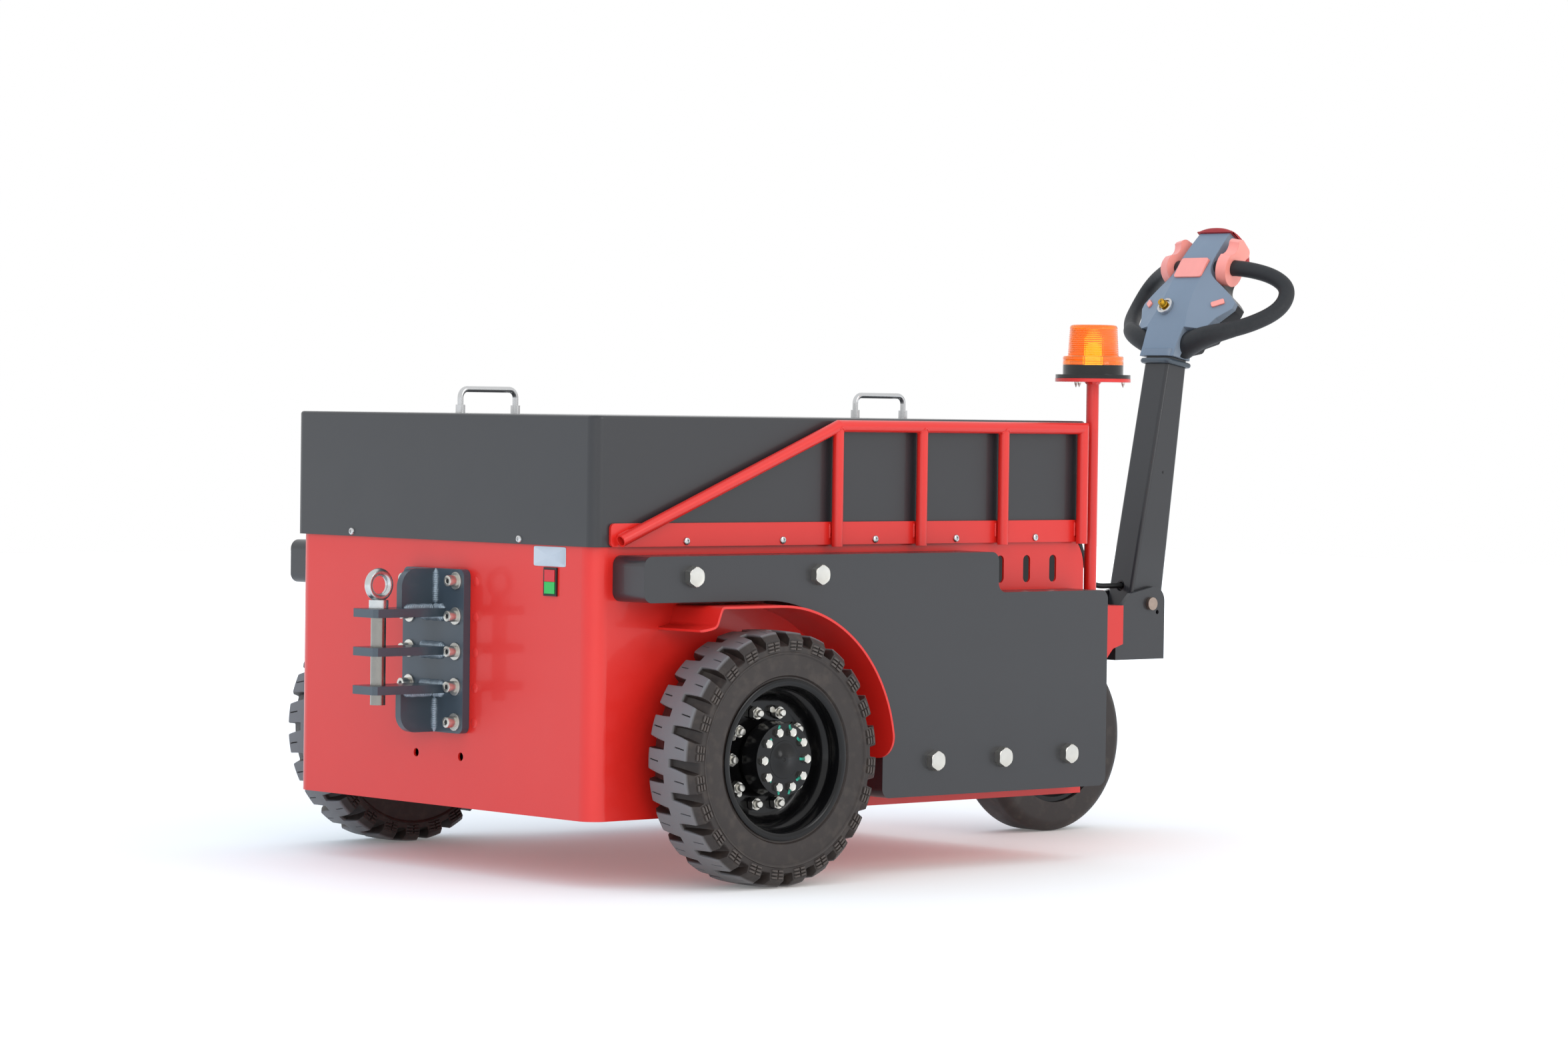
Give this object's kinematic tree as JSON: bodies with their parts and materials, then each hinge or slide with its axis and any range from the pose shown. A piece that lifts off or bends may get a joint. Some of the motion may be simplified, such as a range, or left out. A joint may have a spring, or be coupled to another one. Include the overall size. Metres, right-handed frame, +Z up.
{
  "type": "walk-behind tow tug",
  "caption": "Walk-behind electric tow tug: ballasted red body on solid rear tyres, steered front wheel with tilting tiller, tow hitch, beacon and lift-off cover.",
  "frame": {"origin": "on the ground under the middle of the bounding box", "axes": "+X towards the tiller, +Y to the tug's left, +Z up"},
  "size_m": [2.0606, 1.09, 1.1284],
  "materials": {
    "red_paint": "gloss powder coat, traffic red",
    "grey_paint": "satin powder coat, graphite grey",
    "tyre": "solid rubber, brown-black",
    "black_paint": "gloss black enamel",
    "zinc": "bright zinc plate",
    "steel": "turned steel",
    "grip": "soft black grip",
    "head_plastic": "moulded grey plastic",
    "pink_plastic": "moulded coral plastic",
    "red_plastic": "moulded dark red plastic",
    "amber": "clear amber moulding",
    "black_plastic": "moulded black plastic",
    "green_plastic": "moulded green plastic",
    "lamp": "clear lamp glass",
    "battery_case": "moulded case",
    "cast": "black painted casting",
    "cable": "black cable sheath"
  },
  "bodies": {
    "chassis": {"body_shell": "red_paint", "floor_pan": "red_paint", "front_wall": "red_paint", "nose_frame": "red_paint", "battery_pack": "battery_case", "drive_axle": "cast", "cover": "grey_paint", "cover_handle_rear": "steel", "cover_handle_front": "steel", "guard_rail_right": "red_paint", "guard_rail_left": "red_paint", "ballast_right": "grey_paint", "ballast_left": "grey_paint", "mudguard_right": "red_paint", "mudguard_left": "red_paint", "hitch_bracket": "grey_paint", "beacon_post": "red_paint", "beacon_base": "black_plastic", "beacon_lens": "amber", "beacon_lamp": "lamp", "switch_frame": "black_plastic", "switch_red": "red_plastic", "switch_green": "green_plastic"},
    "hitch_pin": {"hitch_pin": "steel"},
    "wheel_right": {"rear_tyre_right": "tyre", "rear_rim_right": "black_paint", "rear_hub_right": "black_paint"},
    "wheel_left": {"rear_tyre_left": "tyre", "rear_rim_left": "black_paint", "rear_hub_left": "black_paint"},
    "steering": {"steer_fork": "red_paint", "front_axle": "zinc", "tiller_yoke": "grey_paint", "pivot_bolt": "zinc", "control_cable": "cable"},
    "front_wheel": {"front_tyre": "tyre", "front_disc": "black_paint"},
    "tiller": {"tiller_arm": "grey_paint", "tiller_head": "head_plastic", "head_body": "black_plastic", "belly_pad": "red_plastic", "grip_loop_left": "grip", "grip_loop_right": "grip", "paddle_left": "pink_plastic", "paddle_right": "pink_plastic", "drive_button": "pink_plastic", "thumb_button_left": "pink_plastic", "thumb_button_right": "pink_plastic", "key_switch": "zinc"}
  },
  "joints": [
    {"name": "rear_wheel_right_spin", "type": "hinge", "parent": "chassis", "child": "wheel_right", "pos_m": [-0.58734, -0.489, 0.2075], "axis": [0, 1, 0], "continuous": true},
    {"name": "rear_wheel_left_spin", "type": "hinge", "parent": "chassis", "child": "wheel_left", "pos_m": [-0.58734, 0.489, 0.2075], "axis": [0, 1, 0], "continuous": true},
    {"name": "steer", "type": "hinge", "parent": "chassis", "child": "steering", "pos_m": [0.52666, 0, 0.42], "axis": [0, 0, 1], "range_deg": [-80, 80]},
    {"name": "front_wheel_spin", "type": "hinge", "parent": "steering", "child": "front_wheel", "pos_m": [0.52666, 0, 0.172], "axis": [0, 1, 0], "continuous": true},
    {"name": "tiller_tilt", "type": "hinge", "parent": "steering", "child": "tiller", "pos_m": [0.77166, 0, 0.416], "axis": [0, 1, 0], "range_deg": [0, 75], "stiffness_Nm_per_rad": 40, "springref_deg": -34.38, "deforming": ["control_cable"]},
    {"name": "hitch_pin_lift", "type": "slide", "parent": "chassis", "child": "hitch_pin", "axis": [0, 0, 1], "range_m": [0, 0.19]}
  ]
}
